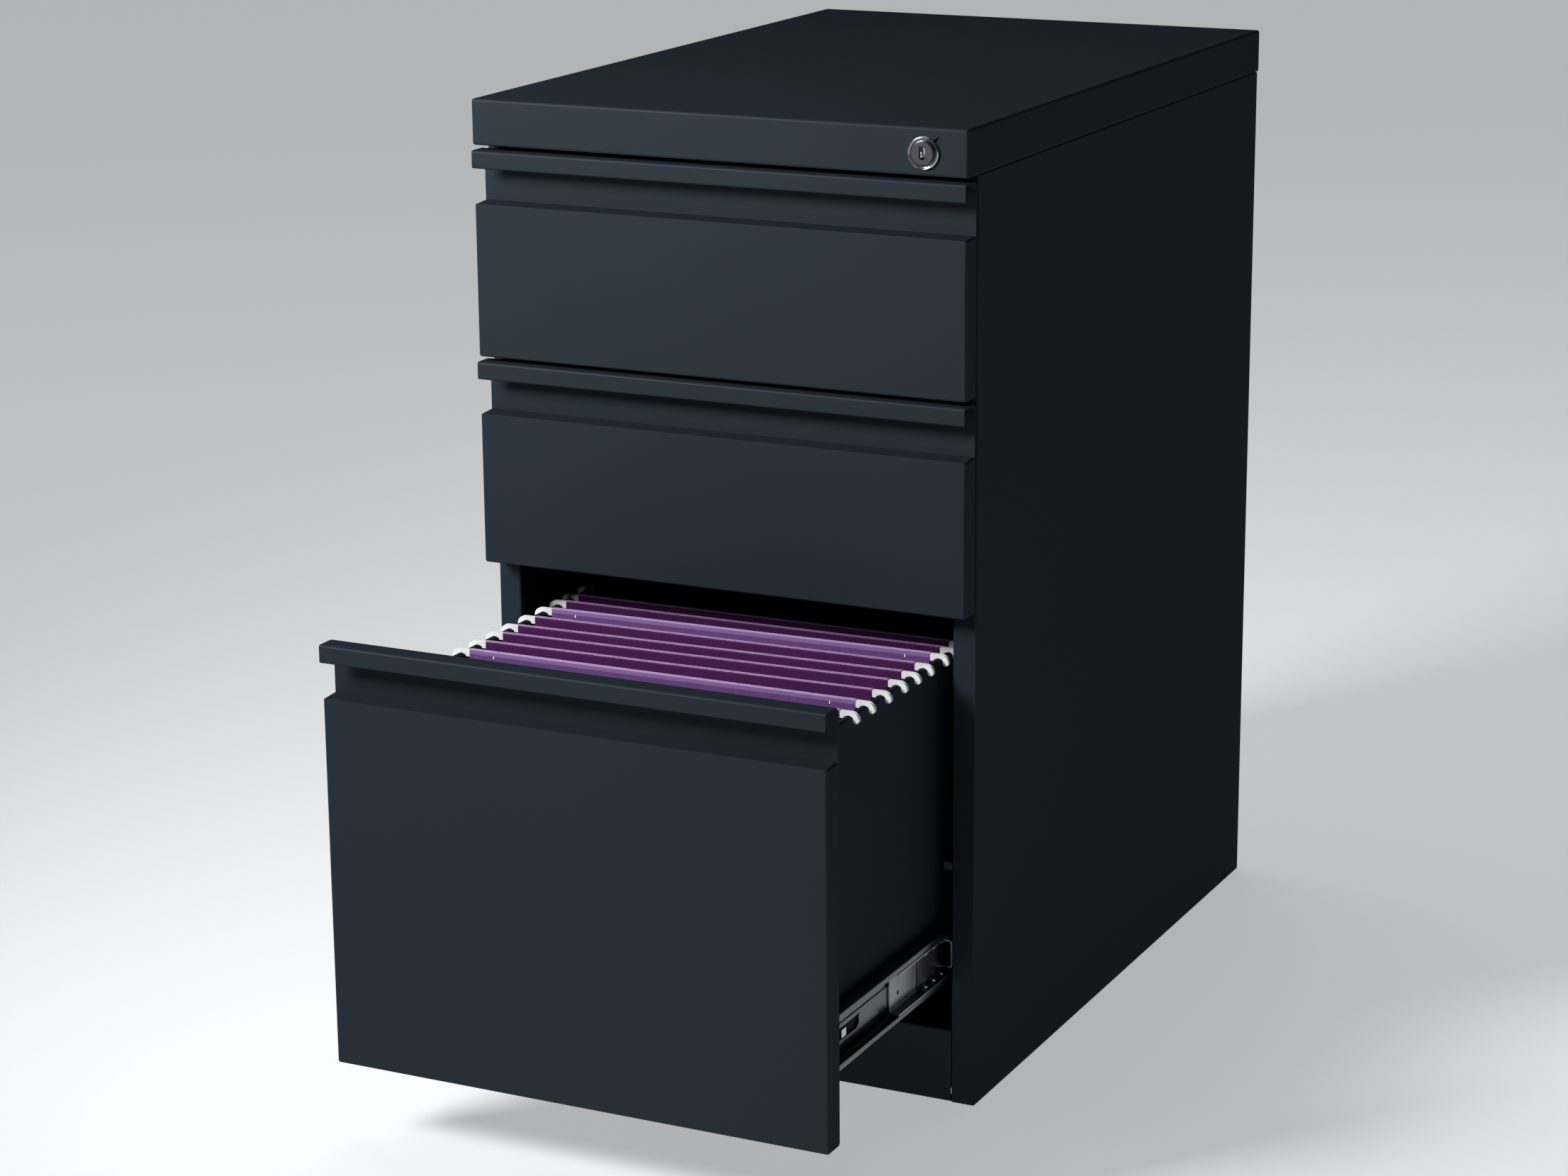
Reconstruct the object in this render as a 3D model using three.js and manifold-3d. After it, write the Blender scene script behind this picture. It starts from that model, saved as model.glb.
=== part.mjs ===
// A three-drawer steel pedestal: two box drawers over one file drawer, on
// telescopic ball slides, with one lock that holds all three drawers.
//
// Units are millimetres, +Z is up, +X is to the right of someone facing the
// drawers, and the drawers open towards -Y. The model is laid out in the
// cabinet's own frame: x = 0 on the centre plane, y = 0 on the plane of the
// closed drawer fronts and z = 0 on the floor. The outer group then moves it so
// that the origin is under the middle of the box around the part as it is
// drawn, with the file drawer part of the way open.

import * as THREE from 'three';
import { mergeVertices } from 'three/addons/utils/BufferGeometryUtils.js';
import Module from 'manifold-3d';

const wasm = await Module();
wasm.setup();

// ---- Driving dimensions -------------------------------------------------

// Whole cabinet
const WIDTH = 381;
const DEPTH = 584;
const HEIGHT = 705;
const FLOOR_GAP = 2;            // clearance under the body's bottom edges
const SHEET = 1;                // body and drawer front steel
const TRAY_SHEET = 0.8;         // drawer box steel
const GAP = 0.35;               // between pieces that touch
const BEND = 1.2;               // radius of a fold, at the middle of the sheet
const BEND_STEPS = 3;

// Body
const BODY_HALF = 190;          // half the body's width, outside
const BODY_FRONT = 20.5;        // plane of the stiles and the toe rail
const BODY_BACK = 582.5;
const CAP_HEIGHT = 33;
const STILE_WIDTH = 18;
const TOE_TOP = 57;
const RETURN = 12;              // depth of a stiffening flange

// Drawer fronts: bottom and top edge of each
const FRONT_HALF = 189.8;
const FRONT_DEPTH = 19.4;       // from the panel's face to the back of the liner
const PAN_DEPTH = 16.6;         // from the panel's face to the back of its own sides
const LINER_BELOW_TOP = 14;     // the liner stops this far below the pull's top
const LINER_INSET = 0.6;
const FRONTS = {
  upper: { bottom: 519.8, top: 668.6 },
  middle: { bottom: 367.6, top: 516.4 },
  file: { bottom: 59.2, top: 363.2 },
};

// Pull along the top of each drawer front
const PULL_DROP = 38.3;         // from the top edge to the ledge
const PULL_DEPTH = 16;          // from the panel's face to the neck
const LEDGE_RISE = 1;
const LIP_HEIGHT = 13;
const LIP_PROUD = 2.4;
const LIP_HEM = 4.5;
const NECK_BEND = 4.5;          // radius where the neck turns forward into the top

// Drawer boxes
const TRAY_HALF = 158.5;
const TRAY_FRONT = 19.8;
const TRAY_BACK = 520;
const RAIL_WIDTH = 5;           // rolled top edge of a drawer side
const RAIL_DROP = 5;
const TRAYS = {
  upper: { bottom: 540, top: 632 },
  middle: { bottom: 387.8, top: 479.8 },
  file: { bottom: 90, top: 327.8 },
};

// Slides
const SLIDE_THICK = 12.7;
const SLIDE_SHEET = 1.2;
const SLIDE_HALF_HEIGHT = 21.5;
const SLIDE_Z = { upper: 562.3, middle: 410.1, file: 113 };
const CABINET_MEMBER = { front: 24, back: 524 };
const MIDDLE_MEMBER = { front: 46, back: 506 };
const DRAWER_MEMBER = { front: 20, back: 520 };

// Lock
const LOCK_X = 158.5;
const LOCK_Z = 687.8;
const BEZEL_RADIUS = 11.5;
const BARREL_RADIUS = 9.5;
const PLUG_RADIUS = 7.6;
const PLUG_PROUD = 3.2;        // how far the plug stands out of the cap's face
const CAM_THROW = 8;            // how far the bar drops in a quarter turn
const PIN_RADIUS = 1.6;
const BAR = { inner: 174, outer: 176, front: 29.5, back: 37.5 };
const HOOK = { reach: 162, height: 6 };
const CATCH = { front: 40, reach: 168, foot: 18, height: 10, sheet: 1.6 };
const CATCH_Z = { upper: 604, middle: 451.8, file: 162 };

// Feet
const GLIDE = { x: 165, front: 62, rear: 548, foot: 13, stem: 4 };

// Hanging folders: distance behind the drawer's face, and how far each hangs
// askew, in degrees
const FOLDERS = [
  { behind: 105.5, skew: 0.3 },
  { behind: 130, skew: 0.5 },
  { behind: 154.5, skew: 1.3 },
  { behind: 179.5, skew: 1.7 },
  { behind: 201.5, skew: 1.8 },
  { behind: 225, skew: 1.3 },
  { behind: 250.5, skew: 1.6 },
  { behind: 270, skew: 0.8 },
  { behind: 287.5, skew: 0.4 },
  { behind: 311.5, skew: 0.3 },
];
const FOLDER = { half: 149, thick: 4, bottom: 95, top: 331 };
const FOLDER_HOOK = { half: 163.3, tip: 324.5, thick: 2.4 };

// How far the file drawer stands open
const FILE_OPEN = 220;

// ---- Finishes -----------------------------------------------------------

const finish = (color, roughness, metalness) =>
  new THREE.MeshStandardMaterial({ color, roughness, metalness });

const FINISH = {
  charcoal: finish(0x39434d, 0.5, 0.1),
  zinc: finish(0xb4b8bb, 0.35, 0.9),
  chrome: finish(0xd6d8da, 0.12, 1),
  castIron: finish(0x3a3a3c, 0.7, 0.5),
  nylon: finish(0x17181a, 0.6, 0),
  plum: finish(0x551a5c, 0.85, 0),
  lavender: finish(0x9a72b4, 0.85, 0),
};

// ---- Solids -------------------------------------------------------------

// A closed three.js geometry as a solid that can be cut and joined.
function solid(geometry) {
  const bare = geometry.clone();
  bare.deleteAttribute('normal');
  bare.deleteAttribute('uv');
  const merged = mergeVertices(bare, 1e-4);
  return new wasm.Manifold(new wasm.Mesh({
    numProp: 3,
    vertProperties: new Float32Array(merged.attributes.position.array),
    triVerts: new Uint32Array(merged.index.array),
  }));
}

function geometryOf(manifold) {
  const mesh = manifold.getMesh();
  const geometry = new THREE.BufferGeometry();
  geometry.setAttribute('position', new THREE.BufferAttribute(mesh.vertProperties, 3));
  geometry.setIndex(new THREE.BufferAttribute(mesh.triVerts, 1));
  geometry.computeVertexNormals();
  return geometry;
}

const join = (...parts) => parts.reduce((whole, part) => whole.add(part));
const cut = (body, ...tools) => tools.reduce((left, tool) => left.subtract(tool), body);

// A block between two values on each axis, given in either order.
function block([x0, x1], [y0, y1], [z0, z1]) {
  const geometry = new THREE.BoxGeometry(Math.abs(x1 - x0), Math.abs(y1 - y0), Math.abs(z1 - z0));
  geometry.translate((x0 + x1) / 2, (y0 + y1) / 2, (z0 + z1) / 2);
  return solid(geometry);
}

// A flat outline extruded along one axis from `start` to `end`. Outline points
// are (y, z) along x, (x, z) along y and (x, y) along z.
function extrude(axis, outline, start, end) {
  const geometry = new THREE.ExtrudeGeometry(new THREE.Shape(outline), {
    depth: end - start,
    bevelEnabled: false,
  });
  if (axis === 'x') {
    geometry.applyMatrix4(new THREE.Matrix4().makeBasis(
      new THREE.Vector3(0, 1, 0), new THREE.Vector3(0, 0, 1), new THREE.Vector3(1, 0, 0)));
    geometry.translate(start, 0, 0);
  } else if (axis === 'y') {
    geometry.rotateX(Math.PI / 2);
    geometry.translate(0, end, 0);
  } else {
    geometry.translate(0, 0, start);
  }
  return solid(geometry);
}

// The outline of a sheet folded along a path, with a radius at each fold. The
// path runs along the middle of the sheet, and a fold's own radius may follow
// its two coordinates.
function foldedSheet(path, thickness, usualRadius = BEND) {
  const points = path.map(([a, b]) => new THREE.Vector2(a, b));
  const left = [];
  const right = [];
  const addPair = (point, heading) => {
    const side = new THREE.Vector2(-Math.sin(heading), Math.cos(heading)).multiplyScalar(thickness / 2);
    left.push(point.clone().add(side));
    right.push(point.clone().sub(side));
  };
  const headingOf = (from, to) => Math.atan2(to.y - from.y, to.x - from.x);
  addPair(points[0], headingOf(points[0], points[1]));
  for (let i = 1; i < points.length - 1; i++) {
    const before = headingOf(points[i - 1], points[i]);
    const after = headingOf(points[i], points[i + 1]);
    const turn = Math.atan2(Math.sin(after - before), Math.cos(after - before));
    const hand = Math.sign(turn);
    const radius = path[i][2] ?? usualRadius;
    const setback = radius * Math.tan(Math.abs(turn) / 2);
    const centre = points[i].clone()
      .sub(new THREE.Vector2(Math.cos(before), Math.sin(before)).multiplyScalar(setback))
      .add(new THREE.Vector2(-Math.sin(before), Math.cos(before)).multiplyScalar(hand * radius));
    for (let step = 0; step <= BEND_STEPS; step++) {
      const heading = before + (turn * step) / BEND_STEPS;
      const offset = new THREE.Vector2(Math.sin(heading), -Math.cos(heading)).multiplyScalar(hand * radius);
      addPair(centre.clone().add(offset), heading);
    }
  }
  addPair(points[points.length - 1], headingOf(points[points.length - 2], points[points.length - 1]));
  return [...left, ...right.reverse()];
}

// A turned piece: `profile` is [radius, height] pairs that start and end on the
// axis, which stands at (x, y) along +Z.
function turned(profile, x, y, segments = 24) {
  const geometry = new THREE.LatheGeometry(profile.map(([r, h]) => new THREE.Vector2(r, h)), segments);
  geometry.rotateX(Math.PI / 2);
  geometry.translate(x, y, 0);
  return solid(geometry);
}

// A round bar along y between two depths, centred on (x, z).
function barAlongY(radius, y0, y1, x, z, segments = 32) {
  const geometry = new THREE.CylinderGeometry(radius, radius, y1 - y0, segments);
  geometry.translate(x, (y0 + y1) / 2, z);
  return solid(geometry);
}

function piece(name, shape, material) {
  const mesh = new THREE.Mesh(geometryOf(shape), material);
  mesh.name = name;
  return mesh;
}

const SIDES = [
  { label: 'left', hand: -1 },
  { label: 'right', hand: 1 },
];

// ---- Body ---------------------------------------------------------------

const CAP_BOTTOM = HEIGHT - CAP_HEIGHT;
const SIDE_TOP = CAP_BOTTOM - GAP;
const SIDE_INNER = BODY_HALF - SHEET;
const OPENING_HALF = BODY_HALF - STILE_WIDTH;
const PAN_Z = 6;
const BACK_FACE = BODY_BACK - SHEET - GAP;      // rear face of the back panel

// One side of the body: stile, side and rear flange folded from one sheet.
function sidePanel(hand) {
  const half = SHEET / 2;
  const section = foldedSheet([
    [hand * (OPENING_HALF + half), BODY_FRONT + RETURN / 2],
    [hand * (OPENING_HALF + half), BODY_FRONT + half],
    [hand * (BODY_HALF - half), BODY_FRONT + half],
    [hand * (BODY_HALF - half), BODY_BACK - half],
    [hand * OPENING_HALF, BODY_BACK - half],
  ], SHEET);
  return extrude('z', section, FLOOR_GAP, SIDE_TOP);
}

// A channel across the front of the body, open to the rear.
function frontRail(bottom, top) {
  const half = SHEET / 2;
  const section = foldedSheet([
    [BODY_FRONT + RETURN, bottom + half],
    [BODY_FRONT + half, bottom + half],
    [BODY_FRONT + half, top - half],
    [BODY_FRONT + RETURN, top - half],
  ], SHEET);
  return extrude('x', section, -OPENING_HALF + GAP, OPENING_HALF - GAP);
}

// The top: a shallow tray turned upside down, with a flange round its rim and
// a hole for the lock.
function topCap() {
  const half = WIDTH / 2;
  const rim = [CAP_BOTTOM, CAP_BOTTOM + SHEET];
  const shell = cut(
    block([-half, half], [0, DEPTH], [CAP_BOTTOM, HEIGHT]),
    block([-half + SHEET, half - SHEET], [SHEET, DEPTH - SHEET], [CAP_BOTTOM - 1, HEIGHT - SHEET]),
  );
  const rimWidth = 11;
  const inside = SHEET / 2;
  const rims = [
    block([-half + inside, -half + rimWidth], [inside, DEPTH - inside], rim),
    block([half - rimWidth, half - inside], [inside, DEPTH - inside], rim),
    block([-half + inside, half - inside], [inside, BODY_FRONT - 0.5], rim),
    block([-half + inside, half - inside], [DEPTH - rimWidth, DEPTH - inside], rim),
  ];
  const lockHole = barAlongY(BARREL_RADIUS + GAP, -1, SHEET + 1, LOCK_X, LOCK_Z);
  return cut(join(shell, ...rims), lockHole);
}

function backPanel() {
  const half = SIDE_INNER - GAP;
  return block([-half, half], [BACK_FACE - SHEET, BACK_FACE], [PAN_Z + SHEET + GAP, SIDE_TOP - 1]);
}

function basePan() {
  const half = SIDE_INNER - GAP;
  const front = BODY_FRONT + RETURN + 3;
  const pan = block([-half, half], [front, BACK_FACE - SHEET - GAP], [PAN_Z, PAN_Z + SHEET]);
  const holes = [];
  for (const x of [-GLIDE.x, GLIDE.x]) {
    for (const y of [GLIDE.front, GLIDE.rear]) {
      holes.push(turned([[0, 0], [GLIDE.stem + 0.5, 0], [GLIDE.stem + 0.5, 20], [0, 20]], x, y));
    }
  }
  return cut(pan, ...holes);
}

// A levelling glide: foot, stem through the pan and the nut above it.
function levellingGlide(x, y) {
  const nutBottom = PAN_Z + SHEET + GAP;
  const nutTop = nutBottom + 5;
  const footTop = 4.2;
  const stemTop = 26;
  return turned([
    [0, 0], [GLIDE.foot - 1.5, 0], [GLIDE.foot, 1.5], [GLIDE.foot, 3], [GLIDE.foot - 4, footTop],
    [GLIDE.stem, footTop + 0.6], [GLIDE.stem, nutBottom], [6.5, nutBottom], [6.5, nutTop],
    [GLIDE.stem, nutTop], [GLIDE.stem, stemTop], [0, stemTop],
  ], x, y);
}

const UPRIGHT_FACE = TRAY_HALF + SLIDE_THICK + GAP;
const UPRIGHTS = {
  front: { front: 40.5, back: 70.5 },
  rear: { front: 486, back: 516 },
};

// A channel between the side panel and the slides, which are riveted to it.
function upright(hand, place) {
  const half = SHEET / 2;
  const outer = SIDE_INNER - GAP;
  const section = foldedSheet([
    [hand * outer, place.front + half],
    [hand * (UPRIGHT_FACE + half), place.front + half],
    [hand * (UPRIGHT_FACE + half), place.back - half],
    [hand * outer, place.back - half],
  ], SHEET);
  return extrude('z', section, PAN_Z + SHEET + GAP, SIDE_TOP - 4);
}

// Two pairs of ears on the right front upright keep the lock bar in line.
function barGuides() {
  const reach = BAR.front - 1;
  const root = UPRIGHTS.front.front + SHEET / 2;
  const ears = [];
  for (const z of [250, 500]) {
    ears.push(block([BAR.inner - 1.8, BAR.inner - 0.8], [reach, root], [z, z + RETURN]));
    ears.push(block([BAR.outer + 0.8, BAR.outer + 1.8], [reach, root], [z, z + RETURN]));
  }
  return ears;
}

function counterweight() {
  const bottom = PAN_Z + SHEET + GAP;
  return block([-150, 150], [410, 520], [bottom, bottom + 16]);
}

// ---- Slides -------------------------------------------------------------

// Each section is drawn as (outward from the drawer's side, up from the
// slide's centre line).
const SLIDE_SECTIONS = {
  drawer: [[10.4, 16.8], [10.4, 20.9], [0.95, 20.9], [0.95, -20.9], [10.4, -20.9], [10.4, -16.8]],
  middle: [[10.6, 15], [3.3, 15], [3.3, -15], [10.6, -15]],
  cabinet: [[5.4, 9.9], [12.1, 9.9], [12.1, -9.9], [5.4, -9.9]],
};

function slideMember(kind, hand, centreZ, span) {
  const path = SLIDE_SECTIONS[kind].map(([out, up]) => [hand * (TRAY_HALF + out), centreZ + up]);
  return extrude('y', foldedSheet(path, SLIDE_SHEET, 1.4), span.front, span.back);
}

// ---- Drawers ------------------------------------------------------------

// The front is one folded sheet from its bottom flange up the face, back along
// the ledge, up the neck, forward along the top and down the lip. Its sides are
// closed behind the face and open at the ends of the pull.
function drawerFront({ bottom, top }) {
  const half = SHEET / 2;
  const ledge = top - PULL_DROP;
  const lipBottom = top - LIP_HEIGHT;
  const section = foldedSheet([
    [PAN_DEPTH, bottom + half],
    [half, bottom + half],
    [half, ledge - half],
    [PULL_DEPTH + half, ledge - half + LEDGE_RISE],
    [PULL_DEPTH + half, top - half, NECK_BEND],
    [-LIP_PROUD + half, top - half],
    [-LIP_PROUD + half, lipBottom + half],
    [-LIP_PROUD + half + LIP_HEM, lipBottom + half],
  ], SHEET);
  const sheet = extrude('x', section, -FRONT_HALF, FRONT_HALF);
  const sides = SIDES.map(({ hand }) => block([hand * (FRONT_HALF - SHEET), hand * FRONT_HALF],
    [BEND, PAN_DEPTH], [bottom + half, ledge - half]));
  return join(sheet, ...sides);
}

// The shallow pan that closes the back of the drawer front.
function frontLiner({ bottom, top }) {
  const half = FRONT_HALF - LINER_INSET;
  const rim = PULL_DEPTH + SHEET + GAP;
  const bottomEdge = bottom + LINER_INSET;
  const topEdge = top - LINER_BELOW_TOP;
  return cut(
    block([-half, half], [rim, FRONT_DEPTH], [bottomEdge, topEdge]),
    block([-half + SHEET, half - SHEET], [rim - 1, FRONT_DEPTH - SHEET], [bottomEdge + SHEET, topEdge - SHEET]),
  );
}

// The drawer's box: bottom and sides in one sheet, the top edge of each side
// rolled into a rail, and a back that stops short of the rails.
function drawerBox({ bottom, top }) {
  const half = TRAY_SHEET / 2;
  const wall = TRAY_HALF - half;
  const rail = wall - RAIL_WIDTH;
  const section = foldedSheet([
    [-rail, top - RAIL_DROP],
    [-rail, top - half],
    [-wall, top - half],
    [-wall, bottom + half],
    [wall, bottom + half],
    [wall, top - half],
    [rail, top - half],
    [rail, top - RAIL_DROP],
  ], TRAY_SHEET);
  const tray = extrude('y', section, TRAY_FRONT, TRAY_BACK);
  const back = block([-wall, wall], [TRAY_BACK - 3, TRAY_BACK - 3 + TRAY_SHEET],
    [bottom + half, top - RAIL_DROP - 1]);
  return join(tray, back);
}

// The angle on the drawer's right side that the lock bar's hook stops.
function lockCatch(z) {
  const half = CATCH.sheet / 2;
  const section = foldedSheet([
    [TRAY_HALF + GAP + half, CATCH.front + CATCH.foot],
    [TRAY_HALF + GAP + half, CATCH.front + half],
    [CATCH.reach, CATCH.front + half],
  ], CATCH.sheet);
  return extrude('z', section, z, z + CATCH.height);
}

// A closed hanging folder: the sleeve with its rods, hooked over both rails.
function hangingFolder({ behind, skew }) {
  const { half, thick, bottom, top } = FOLDER;
  const hook = FOLDER_HOOK;
  const rodBottom = TRAYS.file.top + GAP;
  const parts = [
    block([-half, half], [-thick / 2, thick / 2], [bottom, top]),
    block([-hook.half, hook.half], [-hook.thick / 2, hook.thick / 2], [rodBottom, top]),
  ];
  for (const { hand } of SIDES) {
    parts.push(block([hand * (hook.half - hook.thick), hand * hook.half],
      [-hook.thick / 2, hook.thick / 2], [hook.tip, top]));
  }
  return join(...parts).rotate([0, 0, skew]).translate([0, behind, 0]);
}

// ---- Lock ---------------------------------------------------------------

const PIN_OFFSET = CAM_THROW / 2;               // the pin starts 45 degrees up and to the right
const PIN_X = LOCK_X + PIN_OFFSET;
const PIN_Z = LOCK_Z + PIN_OFFSET;
const BARREL_BACK = 24;
const CAM_FRONT = BARREL_BACK + 2.2;

function lockBarrel() {
  const bore = PLUG_RADIUS + GAP;
  const bezel = barAlongY(BEZEL_RADIUS, -2, -GAP, LOCK_X, LOCK_Z);
  const barrel = barAlongY(BARREL_RADIUS, -1, BARREL_BACK, LOCK_X, LOCK_Z);
  const nut = barAlongY(BEZEL_RADIUS + 1, SHEET + GAP, SHEET + GAP + 4, LOCK_X, LOCK_Z, 6);
  return cut(join(bezel, barrel, nut), barAlongY(bore, -3, BARREL_BACK + 1, LOCK_X, LOCK_Z));
}

function lockPlug() {
  const plug = barAlongY(PLUG_RADIUS, -PLUG_PROUD, BARREL_BACK + 1.8, LOCK_X, LOCK_Z);
  const keyway = block([LOCK_X - 0.8, LOCK_X + 0.8], [-PLUG_PROUD - 1, 16], [LOCK_Z - 4.1, LOCK_Z + 4.1]);
  return cut(plug, keyway);
}

// A disc on the back of the plug with a drive pin near its rim.
function lockCam() {
  const disc = barAlongY(9, CAM_FRONT, CAM_FRONT + 1.8, LOCK_X, LOCK_Z);
  const pin = barAlongY(PIN_RADIUS, CAM_FRONT + 1, CAM_FRONT + 8, PIN_X, PIN_Z, 16);
  return join(disc, pin);
}

// The bar that drops when the lock turns. Its slotted head rides on the cam's
// pin, and one hook comes down in front of each drawer's catch.
function lockBar() {
  const headFront = CAM_FRONT + 3.3;
  const slotX = LOCK_X + PIN_OFFSET * 1.2;
  const head = cut(
    block([LOCK_X - 1.5, BAR.outer], [headFront, headFront + 2], [PIN_Z - 6.5, PIN_Z + 6.5]),
    block([slotX - 3.2, slotX + 3.2], [headFront - 1, headFront + 3],
      [PIN_Z - PIN_RADIUS - GAP, PIN_Z + PIN_RADIUS + GAP]),
  );
  const lowestHook = CATCH_Z.file + CATCH.height;
  const bar = block([BAR.inner, BAR.outer], [BAR.front, BAR.back], [lowestHook - 10, PIN_Z + 6.5]);
  const hooks = Object.values(CATCH_Z).map((z) => {
    const hookBottom = z + CATCH.height + 2;
    return block([HOOK.reach, BAR.inner + 0.5], [BAR.front, BAR.back], [hookBottom, hookBottom + HOOK.height]);
  });
  return join(bar, head, ...hooks);
}

// ---- Assembly -----------------------------------------------------------

const body = new THREE.Group();
for (const { label, hand } of SIDES) {
  body.add(piece(`side_panel_${label}`, sidePanel(hand), FINISH.charcoal));
}
body.add(piece('back_panel', backPanel(), FINISH.charcoal));
body.add(piece('top_cap', topCap(), FINISH.charcoal));
body.add(piece('top_front_rail', frontRail(SIDE_TOP - 16, SIDE_TOP), FINISH.charcoal));
body.add(piece('toe_rail', frontRail(FLOOR_GAP, TOE_TOP), FINISH.charcoal));
body.add(piece('base_pan', basePan(), FINISH.charcoal));
body.add(piece('counterweight', counterweight(), FINISH.castIron));
for (const { label, hand } of SIDES) {
  for (const [place, span] of Object.entries(UPRIGHTS)) {
    const channel = upright(hand, span);
    const guided = place === 'front' && label === 'right' ? join(channel, ...barGuides()) : channel;
    body.add(piece(`slide_upright_${place}_${label}`, guided, FINISH.charcoal));
    body.add(piece(`levelling_glide_${place}_${label}`,
      levellingGlide(hand * GLIDE.x, GLIDE[place]), FINISH.nylon));
  }
}
body.add(piece('lock_barrel', lockBarrel(), FINISH.chrome));
body.add(piece('lock_plug', lockPlug(), FINISH.chrome));
body.add(piece('lock_cam', lockCam(), FINISH.zinc));
body.add(piece('lock_bar', lockBar(), FINISH.zinc));

const HOW_FAR_OPEN = { upper: 0, middle: 0, file: FILE_OPEN };
for (const drawer of Object.keys(FRONTS)) {
  const open = HOW_FAR_OPEN[drawer];
  const moving = new THREE.Group();
  moving.position.y = -open;
  const halfway = new THREE.Group();
  halfway.position.y = -open / 2;
  moving.add(piece(`${drawer}_drawer_front`, drawerFront(FRONTS[drawer]), FINISH.charcoal));
  moving.add(piece(`${drawer}_drawer_liner`, frontLiner(FRONTS[drawer]), FINISH.charcoal));
  moving.add(piece(`${drawer}_drawer_box`, drawerBox(TRAYS[drawer]), FINISH.charcoal));
  moving.add(piece(`${drawer}_lock_catch`, lockCatch(CATCH_Z[drawer]), FINISH.zinc));
  for (const { label, hand } of SIDES) {
    const z = SLIDE_Z[drawer];
    body.add(piece(`${drawer}_slide_cabinet_${label}`,
      slideMember('cabinet', hand, z, CABINET_MEMBER), FINISH.zinc));
    halfway.add(piece(`${drawer}_slide_middle_${label}`,
      slideMember('middle', hand, z, MIDDLE_MEMBER), FINISH.zinc));
    moving.add(piece(`${drawer}_slide_drawer_${label}`,
      slideMember('drawer', hand, z, DRAWER_MEMBER), FINISH.zinc));
  }
  if (drawer === 'file') {
    FOLDERS.forEach((folder, index) => {
      const colour = [1, 6].includes(index) ? FINISH.lavender : FINISH.plum;
      moving.add(piece(`hanging_folder_${index + 1}`, hangingFolder(folder), colour));
    });
  }
  body.add(halfway, moving);
}

// The origin goes under the middle of the box around the open cabinet.
const pedestal = new THREE.Group();
const frontmost = -LIP_PROUD - FILE_OPEN;
body.position.y = -(frontmost + DEPTH) / 2;
pedestal.add(body);

export default pedestal;
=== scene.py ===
"""The looks of a steel pedestal: two box drawers over a file drawer with folders.

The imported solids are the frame. Each sub-assembly below is a class that builds
finer pieces round them and dresses every piece in its finish. Sizes in the
classes are millimetres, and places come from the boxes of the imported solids.
+Z is up, +X is to the right of someone facing the drawers, and -Y is the way
the drawers open. A section's path runs along the outer skin of its sheet, with
the outside on the left of the path.
"""

import logging
import math
from dataclasses import dataclass, field
from enum import Enum
from functools import cache
from typing import Iterable, Sequence, Union

import bmesh
import bpy
from mathutils import Matrix, Vector


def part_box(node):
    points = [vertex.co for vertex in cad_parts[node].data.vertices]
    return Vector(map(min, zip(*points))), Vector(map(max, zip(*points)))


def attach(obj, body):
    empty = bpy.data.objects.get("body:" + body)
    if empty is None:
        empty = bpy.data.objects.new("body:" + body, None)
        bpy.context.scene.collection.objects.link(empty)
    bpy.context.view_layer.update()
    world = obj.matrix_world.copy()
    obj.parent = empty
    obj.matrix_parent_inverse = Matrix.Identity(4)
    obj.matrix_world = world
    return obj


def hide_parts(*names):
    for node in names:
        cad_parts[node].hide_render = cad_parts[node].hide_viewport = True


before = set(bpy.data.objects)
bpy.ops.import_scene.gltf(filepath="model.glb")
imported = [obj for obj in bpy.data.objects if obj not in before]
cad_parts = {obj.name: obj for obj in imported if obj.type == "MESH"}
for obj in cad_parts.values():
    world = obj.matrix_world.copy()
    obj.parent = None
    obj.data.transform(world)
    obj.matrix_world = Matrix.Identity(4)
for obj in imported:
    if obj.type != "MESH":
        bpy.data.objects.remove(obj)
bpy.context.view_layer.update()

log = logging.getLogger("pedestal")

MM = 0.001
FULL_TURN = 2 * math.pi
Colour = tuple[float, float, float]
Point = tuple[float, ...]
Hole = tuple[Vector, float, float, int]


# ---- Shader bench --------------------------------------------------------


class Value:
    """A number in a material, on which plain sums can be written."""

    def __init__(self, bench: "Bench", socket: bpy.types.NodeSocket) -> None:
        """Keeps the bench and the socket that carries the number."""
        self.bench = bench
        self.socket = socket

    def _sum(self, operation: str, first: "Term", second: "Term") -> "Value":
        """Adds one Math node.

        Args:
            operation: the Math node's operation.
            first: its first term.
            second: its second term.

        Returns:
            The result.
        """
        node = self.bench.node("ShaderNodeMath", {"operation": operation}, {0: first, 1: second})
        return Value(self.bench, node.outputs[0])

    def __add__(self, other: "Term") -> "Value":
        """This plus another."""
        return self._sum("ADD", self, other)

    def __radd__(self, other: "Term") -> "Value":
        """Another plus this."""
        return self._sum("ADD", other, self)

    def __sub__(self, other: "Term") -> "Value":
        """This less another."""
        return self._sum("SUBTRACT", self, other)

    def __rsub__(self, other: "Term") -> "Value":
        """Another less this."""
        return self._sum("SUBTRACT", other, self)

    def __mul__(self, other: "Term") -> "Value":
        """This times another."""
        return self._sum("MULTIPLY", self, other)

    def __rmul__(self, other: "Term") -> "Value":
        """Another times this."""
        return self._sum("MULTIPLY", other, self)

    def over(self, limit: float, soft: float) -> "Value":
        """A mask that rises from 0 to 1 over `soft`, from `limit` on."""
        node = self.bench.node("ShaderNodeMapRange", {"clamp": True},
                               {0: self, 1: limit, 2: limit + soft, 3: 0.0, 4: 1.0})
        return Value(self.bench, node.outputs[0])


Term = Union[Value, float]


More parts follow.
